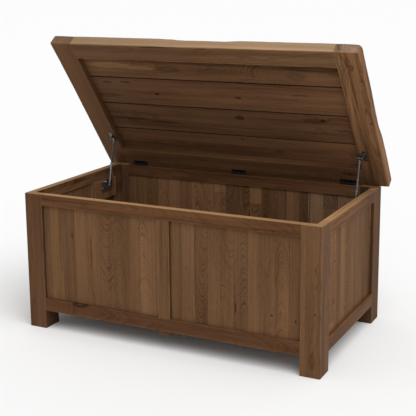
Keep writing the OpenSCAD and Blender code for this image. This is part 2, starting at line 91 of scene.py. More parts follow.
class Tree:
    """Adds shader nodes. A value given for an input is a socket to link, or a number or tuple to set."""

    def __init__(self, tree):
        self.tree = tree

    def fill(self, socket, value):
        if isinstance(value, bpy.types.NodeSocket):
            self.tree.links.new(value, socket)
        else:
            socket.default_value = value

    def add(self, kind, inputs, out=0, **settings):
        node = self.tree.nodes.new(kind)
        for name, value in settings.items():
            setattr(node, name, value)
        for key, value in inputs.items():
            self.fill(node.inputs[key], value)
        return node.outputs[out]

    def calc(self, operation, a, b=0.0, c=0.0, clamp=False):
        return self.add("ShaderNodeMath", {0: a, 1: b, 2: c}, operation=operation, use_clamp=clamp)

    def vector(self, operation, a, b=(0, 0, 0)):
        return self.add("ShaderNodeVectorMath", {0: a, 1: b}, operation=operation)

    def length(self, a):
        return self.add("ShaderNodeVectorMath", {0: a}, out=1, operation="LENGTH")

    def split(self, a):
        node = self.tree.nodes.new("ShaderNodeSeparateXYZ")
        self.fill(node.inputs[0], a)
        return node.outputs

    def join(self, x, y, z):
        return self.add("ShaderNodeCombineXYZ", {0: x, 1: y, 2: z})

    def noise(self, vector, stretch=(1, 1, 1), detail=2.0, roughness=0.5, out=0):
        """Smooth noise. stretch is how many waves there are in a metre along each axis."""
        place = self.vector("MULTIPLY", vector, stretch)
        inputs = {"Vector": place, "Scale": 1.0, "Detail": detail, "Roughness": roughness}
        return self.add("ShaderNodeTexNoise", inputs, out=out)

    def drift(self, vector, stretch, detail, reach):
        """A smooth random shift, up to half of reach either way."""
        way = self.vector("SUBTRACT", self.noise(vector, stretch, detail, out=1), (0.5, 0.5, 0.5))
        return self.vector("MULTIPLY", way, reach)

    def random(self, value, out=0):
        return self.add("ShaderNodeTexWhiteNoise", {"W": value}, out=out, noise_dimensions="1D")

    def facing(self, direction):
        """How far the surface faces a direction: 1 towards it, -1 away from it."""
        normal = self.add("ShaderNodeTexCoord", {}, out="Normal")
        return self.add("ShaderNodeVectorMath", {0: normal, 1: direction}, out=1, operation="DOT_PRODUCT")

    def ease(self, value, low, high, to_low=0.0, to_high=1.0):
        inputs = {0: value, 1: low, 2: high, 3: to_low, 4: to_high}
        return self.add("ShaderNodeMapRange", inputs, interpolation_type="SMOOTHSTEP")

    def scale(self, value, low, high, to_low, to_high):
        return self.add("ShaderNodeMapRange", {0: value, 1: low, 2: high, 3: to_low, 4: to_high})

    def mix(self, share, a, b, blend="MIX"):
        inputs = {0: share, 6: a, 7: b}
        return self.add("ShaderNodeMix", inputs, out=2, data_type="RGBA", blend_type=blend)


def make_group(name, inputs, outputs):
    """A new node group. Returns its Tree, its inputs by name, and a function that fills an output."""
    tree = bpy.data.node_groups.new(name, "ShaderNodeTree")
    for label, kind in inputs.items():
        tree.interface.new_socket(label, in_out="INPUT", socket_type="NodeSocket" + kind)
    for label, kind in outputs.items():
        tree.interface.new_socket(label, in_out="OUTPUT", socket_type="NodeSocket" + kind)
    start = tree.nodes.new("NodeGroupInput")
    end = tree.nodes.new("NodeGroupOutput")
    nodes = Tree(tree)
    return nodes, start.outputs, lambda label, value: nodes.fill(end.inputs[label], value)


def use_group(nodes, group, inputs):
    """Puts a group into a tree, and returns its outputs by name."""
    node = nodes.tree.nodes.new("ShaderNodeGroup")
    node.node_tree = group
    for label, value in inputs.items():
        nodes.fill(node.inputs[label], value)
    return node.outputs


# ---------------------------------------------------------------------------
# Oak
# ---------------------------------------------------------------------------

SAP_TAN = (0.188, 0.098, 0.0475)      # the lightest oak between the rings
HEART_BROWN = (0.060, 0.027, 0.0110)  # the darkest streaks
KNOT_BROWN = (0.020, 0.009, 0.0045)
WORN_TAN = (0.390, 0.222, 0.105)      # rubbed arrises and the sanded tops of the walls
CREAM = (0.375, 0.243, 0.142)         # the lid's front edge, paler and less saturated than its faces
PALE_END = (0.225, 0.159, 0.113)      # sanded end grain
STEP_BROWN = (0.110, 0.050, 0.022)    # the step behind the lid's planks
SAP_LIGHT = (0.350, 0.170, 0.062)     # pale sapwood streaks
END_TINT = (0.90, 0.78, 0.72)         # how end grain differs from the face
SHADED = (0.065, 0.036, 0.020)        # painted shade on flanks and faces that turn away from the light

# How the figure grows
HEART_WANDER = 0.075   # metres that the heart strays from its line
RING_RIPPLE = 0.011    # metres that the rings ripple
HEART_SLOPE = 0.03     # how much the place along the grain counts in a ring's radius
UNEVEN_YEARS = 3.2     # rings by which runs of wide and narrow years shift the count
FINE_LINES = 3.0       # fine lines to each ring
COARSE_SHARE = 0.72    # how much of the dark lines are whole rings, the rest being fine lines
ARCHED_FROM = 0.55     # share of a panel's staves that run straight, the rest showing arches
ARCH_LEAN = 0.24       # how fast growth rings lean along a stave that shows arches
KNOT_FALL = -0.16      # how fast the swirl around a knot dies away

# How much each part of the figure moves a board between its darkest and its lightest wood
MEAN_SHADE = 0.66
STREAK_SHADE = 1.5
STAVE_STREAK_SHADE = 1.1
CLOUD_SHADE = 0.8
RING_SHADE = -0.62
PLAIN_STRENGTH = 0.8   # how strong the rings of a board without staves are

# How much of a darker colour lies in pores, between staves, on end grain and in joints, the joint lines
# being painted shade and dirt
PORE_DARK = 0.5
STAVE_JOINT_DARK = 0.45
END_DARK = 0.8
SEAM_DARK = 0.65

# Heights of the fine relief, as shares of its depth
RELIEF_DEPTH = 0.4 * MM
STREAK_RELIEF = 0.5
RING_RELIEF = -0.5
PORE_RELIEF = -0.6
MARK_RELIEF = -2.0
JOINT_RELIEF = -1.0

OAK_ROUGHNESS = 0.5
RING_ROUGHER = 0.12
END_ROUGHER = 0.2
PORE_ROUGHER = 0.15


def rgb(colour, factor=1.0):
    """A colour as the four numbers that a socket takes, made lighter or darker."""
    tint = factor if isinstance(factor, tuple) else (factor,) * 3
    return (*(c * f for c, f in zip(colour, tint)), 1.0)


def make_oak_figure():
    """Growth rings of a slowly wandering heart, long fibres and open pores, in a board's own metres:
    X along the grain, Y across the board and Z through it."""
    nodes, given, give = make_group(
        "oak_figure",
        {"Board": "Vector", "Heart": "Vector", "Ring": "Float", "Lean": "Float", "Strength": "Float",
         "Swirl": "Float", "Seed": "Float"},
        {"Rings": "Float", "Streaks": "Float", "Cloud": "Float", "Pores": "Float"},
    )
    seed = given["Seed"]
    offset = nodes.join(nodes.calc("MULTIPLY", seed, 3.17), nodes.calc("MULTIPLY", seed, 1.73), seed)
    place = nodes.vector("ADD", given["Board"], offset)
    years = count_years(nodes, given, place)
    bold = nodes.scale(nodes.random(nodes.calc("FLOOR", years)), 0, 1, 0.3, 1.25)
    coarse = nodes.calc("MULTIPLY", early_wood(nodes, years), bold)
    fine = early_wood(nodes, nodes.calc("MULTIPLY", years, FINE_LINES))
    patches = nodes.scale(nodes.noise(place, (2.4, 14, 14)), 0.3, 0.7, 0.2, 1.0)
    strength = nodes.calc("MULTIPLY", patches, given["Strength"])
    coarse_part = nodes.calc("MULTIPLY", coarse, COARSE_SHARE)
    rings = nodes.calc("ADD", coarse_part, nodes.calc("MULTIPLY", fine, 1 - COARSE_SHARE))
    give("Rings", nodes.calc("MULTIPLY", rings, strength))
    broad = nodes.noise(place, (1.6, 42, 42), detail=2.0)
    thin = nodes.noise(place, (6, 210, 210), detail=3.0, roughness=0.6)
    streaks = nodes.calc("ADD", nodes.calc("MULTIPLY", broad, 0.6), nodes.calc("MULTIPLY", thin, 0.4))
    give("Streaks", streaks)
    give("Cloud", nodes.noise(place, (1.3, 9, 9), detail=2.0))
    pores = nodes.ease(nodes.noise(place, (95, 1300, 1300), detail=1.0), 0.58, 0.70)
    flecks = nodes.ease(nodes.noise(place, (38, 430, 430), detail=1.0), 0.60, 0.72)
    pores = nodes.calc("MAXIMUM", pores, flecks)
    give("Pores", nodes.calc("MULTIPLY", pores, nodes.scale(coarse, 0.0, 1.0, 0.35, 1.0)))
    return nodes.tree


def count_years(nodes, given, place):
    """How many growth rings a point lies out from the heart."""
    wander = nodes.drift(place, (1.9, 4.5, 4.5), 1.0, (0, HEART_WANDER, HEART_WANDER))
    ripple = nodes.drift(place, (9, 38, 38), 2.0, (0, RING_RIPPLE, RING_RIPPLE))
    from_heart = nodes.vector("SUBTRACT", given["Board"], given["Heart"])
    from_heart = nodes.vector("ADD", nodes.vector("ADD", from_heart, wander), ripple)
    radius = nodes.length(nodes.vector("MULTIPLY", from_heart, (HEART_SLOPE, 1, 1)))
    radius = nodes.calc("MULTIPLY_ADD", nodes.split(given["Board"])[0], given["Lean"], radius)
    years = nodes.calc("ADD", nodes.calc("DIVIDE", radius, given["Ring"]), given["Swirl"])
    uneven = nodes.noise(nodes.join(nodes.calc("MULTIPLY", years, 0.45), given["Seed"], 0.0), detail=1.0)
    return nodes.calc("ADD", years, nodes.calc("MULTIPLY", uneven, UNEVEN_YEARS))


def early_wood(nodes, years):
    """A dark line that starts sharply at each ring and fades across it."""
    part = nodes.calc("FRACT", years)
    rise = nodes.calc("MULTIPLY", part, 9.0, clamp=True)
    fall = nodes.calc("POWER", nodes.calc("SUBTRACT", 1.0, part), 2.2)
    return nodes.calc("MULTIPLY", rise, fall)


def make_oak_mark():
    """One knot or check on a board, and on the lid's left end a patch of painted shade: an oval where the
    rings swirl and the wood turns dark.
    """
    nodes, given, give = make_group(
        "oak_mark",
        {"Board": "Vector", "Centre": "Vector", "Size": "Vector", "Twist": "Float", "Depth": "Float",
         "Swirl": "Float", "Mark": "Float"},
        {"Swirl": "Float", "Mark": "Float"},
    )
    frayed = nodes.drift(given["Board"], (60, 160, 160), 2.0, (12 * MM, 6 * MM, 0))
    away = nodes.vector("SUBTRACT", nodes.vector("ADD", given["Board"], frayed), given["Centre"])
    away = nodes.vector("MULTIPLY", away, (1, 1, 0))
    far = nodes.length(nodes.vector("DIVIDE", away, given["Size"]))
    bump = nodes.calc("EXPONENT", nodes.calc("MULTIPLY", nodes.calc("MULTIPLY", far, far), KNOT_FALL))
    give("Swirl", nodes.calc("ADD", given["Swirl"], nodes.calc("MULTIPLY", bump, given["Twist"])))
    dark = nodes.calc("MULTIPLY", nodes.ease(far, 1.3, 0.7), nodes.ease(far, 0.1, 0.6, 0.55, 1.0))
    dark = nodes.calc("MULTIPLY", dark, given["Depth"])
    give("Mark", nodes.calc("MAXIMUM", given["Mark"], dark))
    return nodes.tree


def make_oak_staves():
    """Splits a panel into glued staves, and gives each its own heart, shift and tone. A little under half
    of them are sawn near the heart and show pointed arches, and the rest run nearly straight."""
    nodes, given, give = make_group(
        "oak_staves",
        {"Board": "Vector", "Stave": "Float", "Block": "Float", "Seed": "Float"},
        {"Heart": "Vector", "Seed": "Float", "Tone": "Float", "Warmth": "Float", "Lean": "Float",
         "Strength": "Float", "Joint": "Float"},
    )
    along, across, _ = nodes.split(given["Board"])
    count = nodes.calc("DIVIDE", across, given["Stave"])
    row = nodes.calc("ADD", nodes.calc("FLOOR", count), given["Seed"])
    shift = nodes.random(nodes.calc("MULTIPLY", row, 1.37))
    run = nodes.calc("ADD", nodes.calc("DIVIDE", along, given["Block"]), shift)
    block = nodes.calc("FLOOR", run)
    name = nodes.calc("ADD", nodes.calc("MULTIPLY", row, 7.13), nodes.calc("MULTIPLY", block, 3.71))
    dice = nodes.split(nodes.random(name, out=1))
    centre = nodes.calc("MULTIPLY", nodes.calc("ADD", nodes.calc("FLOOR", count), 0.5), given["Stave"])
    odds = nodes.split(nodes.random(nodes.calc("MULTIPLY", name, 4.7), out=1))
    arched = nodes.calc("GREATER_THAN", odds[0], ARCHED_FROM)
    spread = nodes.calc("MULTIPLY_ADD", arched, -0.13, 0.15)
    side = nodes.calc("MULTIPLY", nodes.calc("SUBTRACT", dice[0], 0.5), spread)
    heart = nodes.join(0.0, nodes.calc("ADD", centre, side), nodes.scale(dice[1], 0, 1, -0.009, -0.028))
    give("Heart", heart)
    give("Seed", nodes.calc("MULTIPLY", name, 0.61))
    give("Tone", nodes.scale(dice[2], 0, 1, -1.0, 1.0))
    way = nodes.calc("SUBTRACT", odds[1], 0.5)
    spread_lean = nodes.calc("MULTIPLY", way, ARCH_LEAN)
    steep = nodes.calc("MULTIPLY_ADD", nodes.calc("SIGN", way), 0.6 * ARCH_LEAN, spread_lean)
    steep = nodes.calc("MULTIPLY", steep, arched)
    give("Lean", nodes.calc("MULTIPLY_ADD", way, 0.04, steep))
    give("Warmth", nodes.scale(nodes.random(nodes.calc("MULTIPLY", name, 2.3)), 0, 1, -1.0, 1.0))
    give("Strength", nodes.calc("MULTIPLY_ADD", odds[2], 0.5, nodes.calc("MULTIPLY_ADD", arched, 1.1, 0.3)))
    side_gap, end_gap = to_joint(nodes, count, given["Stave"]), to_joint(nodes, run, given["Block"])
    give("Joint", nodes.ease(nodes.calc("MINIMUM", side_gap, end_gap), 0.9 * MM, 0.2 * MM))
    return nodes.tree


def to_joint(nodes, count, size):
    """How far a point is from the nearest joint, given its place counted in pieces and a piece's size."""
    from_middle = nodes.calc("ABSOLUTE", nodes.calc("SUBTRACT", nodes.calc("FRACT", count), 0.5))
    return nodes.calc("MULTIPLY", nodes.calc("SUBTRACT", 0.5, from_middle), size)


def make_oak_edges():
    """How near a point is to an arris of the board's box, and whether it lies on end grain."""
    nodes, given, give = make_group(
        "oak_edges",
        {"Board": "Vector", "Half": "Vector", "Grain": "Vector"},
        {"Wear": "Float", "End": "Float"},
    )
    inset = nodes.vector("SUBTRACT", given["Half"], nodes.vector("ABSOLUTE", given["Board"]))
    x, y, z = nodes.split(inset)
    low, high = nodes.calc("MINIMUM", x, y), nodes.calc("MAXIMUM", x, y)
    second = nodes.calc("MAXIMUM", low, nodes.calc("MINIMUM", high, z))
    rubbed = nodes.noise(given["Board"], (14, 55, 55), detail=3.0)
    reach = nodes.scale(rubbed, 0.35, 0.65, 0.6 * MM, 4.2 * MM)
    give("Wear", nodes.calc("SUBTRACT", 1.0, nodes.calc("DIVIDE", second, reach), clamp=True))
    give("End", nodes.ease(nodes.calc("ABSOLUTE", nodes.facing(given["Grain"])), 0.75, 0.92))
    return nodes.tree


FIGURE, MARK, STAVES, EDGES = make_oak_figure(), make_oak_mark(), make_oak_staves(), make_oak_edges()


def turn_of(along, out):
    """The rotation from the row frame to a board's axes: along its grain, across it and out of its face."""
    return Matrix((along, out.cross(along), out))


def extent(node, turn):
    """The middle and half size of a CAD node along a board's own axes."""
    points = [turn @ v.co for v in frame["nodes"][node].data.vertices]
    low = Vector([min(p[i] for p in points) for i in range(3)])
    high = Vector([max(p[i] for p in points) for i in range(3)])
    return (low + high) / 2, (high - low) / 2


def place_marks(nodes, board, half, places):
    """Lays marks on a board. Returns how far they turn the growth rings there, and how dark they are."""
    swirl, mark = 0.0, 0.0
    for along, across, length, width, twist, depth in places:
        outputs = use_group(nodes, MARK, {
            "Board": board, "Centre": (along * half.x, across * half.y, 0), "Size": (length, width, 1),
            "Twist": twist, "Depth": depth, "Swirl": swirl, "Mark": mark})
        swirl, mark = outputs["Swirl"], outputs["Mark"]
    return swirl, mark


def add_bare_face(nodes, colour, shade, direction, bare_colour, bare_share):
    """Colours the faces that look in one direction: rubbed tops and end grain, and painted shade on faces
    that turn away from the light. Keeps the figure's light and dark on them.
    """
    face_with_figure = nodes.mix(nodes.calc("MULTIPLY", shade, 0.7), rgb(bare_colour, 0.5), rgb(bare_colour, 1.35))
    return nodes.mix(nodes.ease(nodes.facing(direction), 0.45, 0.9, 0.0, bare_share), colour, face_with_figure)


def add_fade(nodes, colour, board, half, fade):
    """Paints light and shade on a board as a gradient: lighter from its middle to its high end and to its
    high side, by the given shares, standing in for how the light falls on it.
    """
    along, across, _ = nodes.split(board)
    light = nodes.calc("MULTIPLY_ADD", along, fade[0] / half.x, 1.0)
    light = nodes.calc("MULTIPLY_ADD", across, fade[1] / half.y, light)
    return nodes.vector("MULTIPLY", colour, nodes.join(light, light, light))


def add_seams(nodes, colour, board, half, seams):
    """Draws dark joint lines of uneven width along a board's low and high sides: painted shade and dirt
    where the board meets its neighbours.
    """
    from_low, from_high, boldness = seams
    across = nodes.split(board)[1]
    low = nodes.calc("ADD", across, half.y - from_low)
    high = nodes.calc("SUBTRACT", half.y - from_high, across)
    uneven_seam = nodes.noise(board, (12, 60, 60))
    seam_width = nodes.scale(uneven_seam, 0.35, 0.65, 0.5 * MM * boldness, 2.0 * MM * boldness)
    line = nodes.calc("DIVIDE", nodes.calc("MINIMUM", low, high), seam_width)
    line = nodes.calc("SUBTRACT", 1.0, line, clamp=True)
    return nodes.mix(nodes.calc("MULTIPLY", line, SEAM_DARK), colour, rgb(KNOT_BROWN, 0.6))


def add_stave_tones(nodes, colour, staves, variety):
    """Gives a panel's staves their own tones, and draws the fine joints between them."""
    tone = nodes.calc("MULTIPLY_ADD", staves["Tone"], variety, 1.0)
    blue = nodes.calc("MULTIPLY_ADD", staves["Warmth"], -0.2 * variety, tone)
    colour = nodes.vector("MULTIPLY", colour, nodes.join(tone, tone, blue))
    return nodes.mix(nodes.calc("MULTIPLY", staves["Joint"], STAVE_JOINT_DARK), colour, rgb(KNOT_BROWN))


def oak(node, turn, seed, heart=(0, 0, -0.035), ring=0.0050, lean=0.03, tint=1.0, contrast=1.15, marks=(),
        pale=(), stave=None, block=5.0, variety=0.13, bare=(), seams=None, wear=0.3, shine=0.03, fade=None):
    """Makes the oak of one CAD node's board. heart is where the tree's heart runs in the board's own axes.
    Each of marks and pale is (place along, place across, length, width, twist, depth), with places as
    shares of the half size. Each of bare is (direction, colour, share) for faces that differ
    from the rest: rubbed tops and end grain, and painted shade on faces that turn away from the light.
    seams is the distances from the board's low and high sides to its dark joint lines, painted shade and
    dirt, and the lines' boldness, and fade how much lighter, as painted light, the board gets from its
    middle to its high end and high side."""
    middle, half = extent(node, turn)
    material = bpy.data.materials.new(node + "_oak")
    material.use_nodes = True
    nodes = Tree(material.node_tree)
    shader = material.node_tree.nodes["Principled BSDF"]
    place = nodes.add("ShaderNodeTexCoord", {}, out="Object")
    mapping = {"Vector": place, "Location": -middle, "Rotation": turn.to_euler("XYZ")}
    board = nodes.add("ShaderNodeMapping", mapping)
    swirl, mark = place_marks(nodes, board, half, marks)
    staves = None
    growth = {"Heart": heart, "Seed": float(seed), "Lean": lean, "Strength": PLAIN_STRENGTH}
    if stave:
        sizes = {"Board": board, "Stave": stave, "Block": block, "Seed": seed * 13.0}
        staves = use_group(nodes, STAVES, sizes)
        growth = {name: staves[name] for name in growth}
    figure = use_group(nodes, FIGURE, {"Board": board, "Ring": ring, "Swirl": swirl, **growth})
    edges = use_group(nodes, EDGES, {"Board": board, "Half": half, "Grain": turn.row[0]})

    streaky = (STAVE_STREAK_SHADE if stave else STREAK_SHADE) * contrast
    shade = nodes.calc("MULTIPLY_ADD", nodes.calc("SUBTRACT", figure["Streaks"], 0.5), streaky, MEAN_SHADE)
    cloud = nodes.calc("SUBTRACT", figure["Cloud"], 0.5)
    shade = nodes.calc("MULTIPLY_ADD", cloud, CLOUD_SHADE * contrast, shade)
    shade = nodes.calc("MULTIPLY_ADD", figure["Rings"], RING_SHADE * contrast, shade, clamp=True)
    colour = nodes.mix(shade, rgb(HEART_BROWN, tint), rgb(SAP_TAN, tint))
    colour = nodes.mix(nodes.calc("MULTIPLY", figure["Pores"], PORE_DARK), colour, rgb(HEART_BROWN, 0.5))
    if stave:
        colour = add_stave_tones(nodes, colour, staves, variety)
    if pale:
        streak = place_marks(nodes, board, half, pale)[1]
        colour = nodes.mix(streak, colour, nodes.mix(shade, rgb(SAP_TAN), rgb(SAP_LIGHT)))
    colour = nodes.mix(nodes.calc("MULTIPLY", edges["End"], END_DARK), colour, rgb(END_TINT), "MULTIPLY")
    # Rubbed tops and end grain, and painted shade on faces that turn away from the light
    for bare_face in bare:
        colour = add_bare_face(nodes, colour, shade, *bare_face)
    colour = nodes.mix(nodes.calc("MULTIPLY", edges["Wear"], wear), colour, rgb(WORN_TAN, tint))
    # Painted light and shade: a gradient across the board
    if fade:
        colour = add_fade(nodes, colour, board, half, fade)
    # Painted shade and dirt along the joints
    if seams:
        colour = add_seams(nodes, colour, board, half, seams)
    if marks:
        colour = nodes.mix(mark, colour, rgb(KNOT_BROWN))
    nodes.fill(shader.inputs["Base Color"], colour)

    rough = nodes.calc("MULTIPLY_ADD", figure["Rings"], RING_ROUGHER, OAK_ROUGHNESS)
    rough = nodes.calc("MULTIPLY_ADD", edges["End"], END_ROUGHER, rough)
    rough = nodes.calc("MULTIPLY_ADD", figure["Pores"], PORE_ROUGHER, rough, clamp=True)
    nodes.fill(shader.inputs["Roughness"], rough)
    shader.inputs["Specular IOR Level"].default_value = shine

    height = nodes.calc("MULTIPLY", figure["Streaks"], STREAK_RELIEF)
    height = nodes.calc("MULTIPLY_ADD", figure["Rings"], RING_RELIEF, height)
    height = nodes.calc("MULTIPLY_ADD", figure["Pores"], PORE_RELIEF, height)
    if marks:
        height = nodes.calc("MULTIPLY_ADD", mark, MARK_RELIEF, height)
    if stave:
        height = nodes.calc("MULTIPLY_ADD", staves["Joint"], JOINT_RELIEF, height)
    bump = {"Height": height, "Strength": 0.5, "Distance": RELIEF_DEPTH}
    nodes.fill(shader.inputs["Normal"], nodes.add("ShaderNodeBump", bump))
    return material


def paint(node, material):
    """Gives a CAD node one material in place of its record colour."""
    data = frame["nodes"][node].data
    data.materials.clear()
    data.materials.append(material)


def soften(node, width):
    """Rounds a CAD node's sharp arrises."""
    piece = frame["nodes"][node]
    weld = piece.modifiers.new("weld", "WELD")
    weld.merge_threshold = 0.01 * MM
    bevel = piece.modifiers.new("bevel", "BEVEL")
    bevel.width = width
    bevel.segments = 2
    bevel.limit_method = "ANGLE"
    bevel.angle_limit = math.radians(SHARP_ANGLE)
    bevel.harden_normals = False
    normals = piece.modifiers.new("normals", "WEIGHTED_NORMAL")
    normals.keep_sharp = False
    normals.weight = 100


hinge = next(j for j in frame["joints"] if j["name"] == "lid_hinge")
PINS = Vector(hinge["pos_m"])
LID_TURN = Matrix.Rotation(-math.radians(max(hinge["range_deg"])), 3, "X")
LID_OUT, LID_DOWN = LID_TURN @ -Y_AXIS, LID_TURN @ -Z_AXIS

UPRIGHT_FRONT = turn_of(Z_AXIS, -Y_AXIS)
UPRIGHT_SIDE = turn_of(Z_AXIS, X_AXIS)
LEVEL_FRONT = turn_of(X_AXIS, -Y_AXIS)
LEVEL_SIDE = turn_of(Y_AXIS, X_AXIS)
FLAT_LONG = turn_of(X_AXIS, Z_AXIS)
FLAT_SHORT = turn_of(Y_AXIS, Z_AXIS)
LID_LONG = turn_of(X_AXIS, LID_DOWN)
LID_SHORT = turn_of(LID_OUT, LID_DOWN)

# How far the sharp arrises are rounded
ARRIS = 1.2 * MM
POST_ARRIS = 2.5 * MM
PLANK_ARRIS = 0.8 * MM
SHARP_ANGLE = 40                      # degrees between faces that meet in an arris

PANEL_TONGUE = 7 * MM                 # how far a panel reaches into its grooves
PLANK_TONGUE = 8 * MM

# Dark joint lines, painted shade and dirt: how far in they lie from a board's low and high sides, and how
# bold they are
PANEL_SEAMS = (PANEL_TONGUE, PANEL_TONGUE, 1.8)
PLANK_SEAMS = (0, PLANK_TONGUE, 1.0)
LAST_PLANK_SEAMS = (PLANK_TONGUE, PLANK_TONGUE, 1.0)

# Faces that differ from the rest of their boards: rubbed tops and end grain, and painted shade on the
# flanks and fronts that turn away from the light
RUBBED_TOP = (Z_AXIS, WORN_TAN, 0.85)
RUBBED_RIGHT_TOP = (Z_AXIS, WORN_TAN, 0.75)
CLEAN_BACK_TOP = (Z_AXIS, WORN_TAN, 0.10)
# Painted shade: a darker colour on flanks and fronts that turn away from the light
SHADED_FLANK = (X_AXIS, SHADED, 0.8)
SHADED_MUNTIN = (X_AXIS, SHADED, 0.7)
SHADED_FRONT = (-Y_AXIS, SHADED, 0.8)
DIM_FRONT = (-Y_AXIS, SHADED, 0.5)
PALE_LID_FRONT = (LID_OUT, CREAM, 0.9)
LEFT_END_GRAIN = (LID_OUT, PALE_END, 0.4)
RIGHT_END_GRAIN = (LID_OUT, PALE_END, 0.7)
PLANK_STEP = (LID_OUT, STEP_BROWN, 0.8)


def dress(node, turn, seed, width=ARRIS, **look):
    """Gives a CAD node its own oak and softens its arrises, unless the width is None."""
    paint(node, oak(node, turn, seed, **look))
    if width:
        soften(node, width)


def dress_posts():
    post = {"width": POST_ARRIS, "heart": (0, 0.05, -0.02), "ring": 0.0055, "lean": 0.01}
    # The posts' shaded flank and fronts are painted shade
    dress("front_left_post", UPRIGHT_FRONT, seed=11, tint=(0.76, 0.73, 0.74), contrast=0.9,
          bare=[RUBBED_TOP, SHADED_FLANK], **post)
    dress("front_right_post", UPRIGHT_FRONT, seed=12, tint=(0.96, 0.94, 0.93), contrast=0.75,
          bare=[RUBBED_TOP], **post, marks=[
              (-0.15, -0.40, 0.006, 0.003, 1.0, 0.75), (0.42, -0.42, 0.010, 0.003, 1.5, 0.4),
              (0.20, -0.45, 0.007, 0.003, 1.0, 0.35), (-0.77, -0.20, 0.030, 0.008, 2.5, 0.4)])
    dress("rear_left_post", UPRIGHT_FRONT, seed=13, tint=1.1, bare=[RUBBED_TOP, DIM_FRONT], **post, marks=[
        (0.78, 0.15, 0.060, 0.010, 2.0, 0.45)])
    dress("rear_right_post", UPRIGHT_FRONT, seed=14, tint=(0.72, 0.63, 0.50),
          bare=[RUBBED_TOP, SHADED_FRONT], **post)


def dress_rails():
    top = {"ring": 0.010, "contrast": 1.5, "lean": 0.05}
    front = {"heart": (0, 0.0, -0.02), "ring": 0.006, "lean": 0.12}
    dress("front_top_rail", LEVEL_FRONT, seed=21, tint=(0.72, 0.62, 0.55), contrast=1.6,
          bare=[RUBBED_TOP], **front)
    dress("back_top_rail", LEVEL_FRONT, seed=23, heart=(0, -0.01, -0.03), tint=(0.80, 0.72, 0.72),
          fade=(0.18, 0.0), shine=0.0, bare=[CLEAN_BACK_TOP], **top)
    dress("left_top_rail", LEVEL_SIDE, seed=25, tint=1.45, bare=[RUBBED_TOP], **top)
    dress("right_top_rail", LEVEL_SIDE, seed=27, tint=(0.89, 0.78, 0.62), fade=(-0.34, 0.0),
          bare=[RUBBED_RIGHT_TOP], **top)
    dress("front_bottom_rail", LEVEL_FRONT, seed=22, tint=(0.66, 0.58, 0.56), contrast=1.2, **front, marks=[
        (-0.65, 0.93, 0.030, 0.010, 1.5, 0.8)])
    dress("back_bottom_rail", LEVEL_FRONT, seed=24, tint=0.85)
    dress("left_bottom_rail", LEVEL_SIDE, seed=26)
    dress("right_bottom_rail", LEVEL_SIDE, seed=28, tint=(0.80, 0.72, 0.66))
    dress("front_muntin", UPRIGHT_FRONT, seed=29, heart=(0, 0.04, -0.02), tint=0.93, fade=(0.04, 0.0),
          bare=[SHADED_MUNTIN])


def dress_panels():
    front = {"width": None, "tint": 0.96, "ring": 0.0032, "variety": 0.16, "seams": PANEL_SEAMS}
    dress("front_left_panel", UPRIGHT_FRONT, seed=99, stave=0.0487, fade=(0.04, -0.05), **front, marks=[
        (0.40, 0.47, 0.012, 0.005, 2.5, 0.45), (0.10, 0.15, 0.060, 0.002, 1.0, 0.55)])
    dress("front_right_panel", UPRIGHT_FRONT, seed=70, stave=0.045, **front, marks=[
        (-0.40, 0.12, 0.025, 0.010, 6.0, 0.0), (-0.51, -0.43, 0.040, 0.014, 8.0, 0.0),
        (-0.53, -0.02, 0.017, 0.0025, 0.8, 0.85), (-0.57, -0.55, 0.004, 0.003, 0.8, 0.85),
        (-0.61, -0.89, 0.004, 0.003, 0.8, 0.8)])
    # The back and left panels' strong tints are painted light, lightening the inside walls that the lamps
    # reach too little
    back = {"width": None, "stave": 0.0475, "block": 0.40}
    dress("back_left_panel", UPRIGHT_FRONT, seed=33, tint=1.42, variety=0.3, **back)
    for seed, node in ((34, "back_middle_panel"), (35, "back_right_panel")):
        dress(node, UPRIGHT_FRONT, seed, tint=(1.65, 1.87, 2.15), variety=0.24, **back)
    dress("left_panel", UPRIGHT_SIDE, seed=36, width=None, stave=0.047, tint=1.5)
    dress("right_panel", UPRIGHT_SIDE, seed=37, width=None, stave=0.047, ring=0.0035, variety=0.12,
          tint=(1.03, 0.97, 0.84), fade=(0.0, 0.25), seams=PANEL_SEAMS)


def dress_inside():
    dress("floor_panel", FLAT_LONG, seed=38, width=None, stave=0.07, block=0.6)
    dress("front_floor_cleat", LEVEL_FRONT, seed=39, width=None)
    dress("back_floor_cleat", LEVEL_FRONT, seed=40, width=None)
    dress("centre_bearer", FLAT_SHORT, seed=41, tint=0.75)
    dress("left_stay_block", UPRIGHT_SIDE, seed=42, tint=1.5)
    dress("right_stay_block", UPRIGHT_SIDE, seed=43)


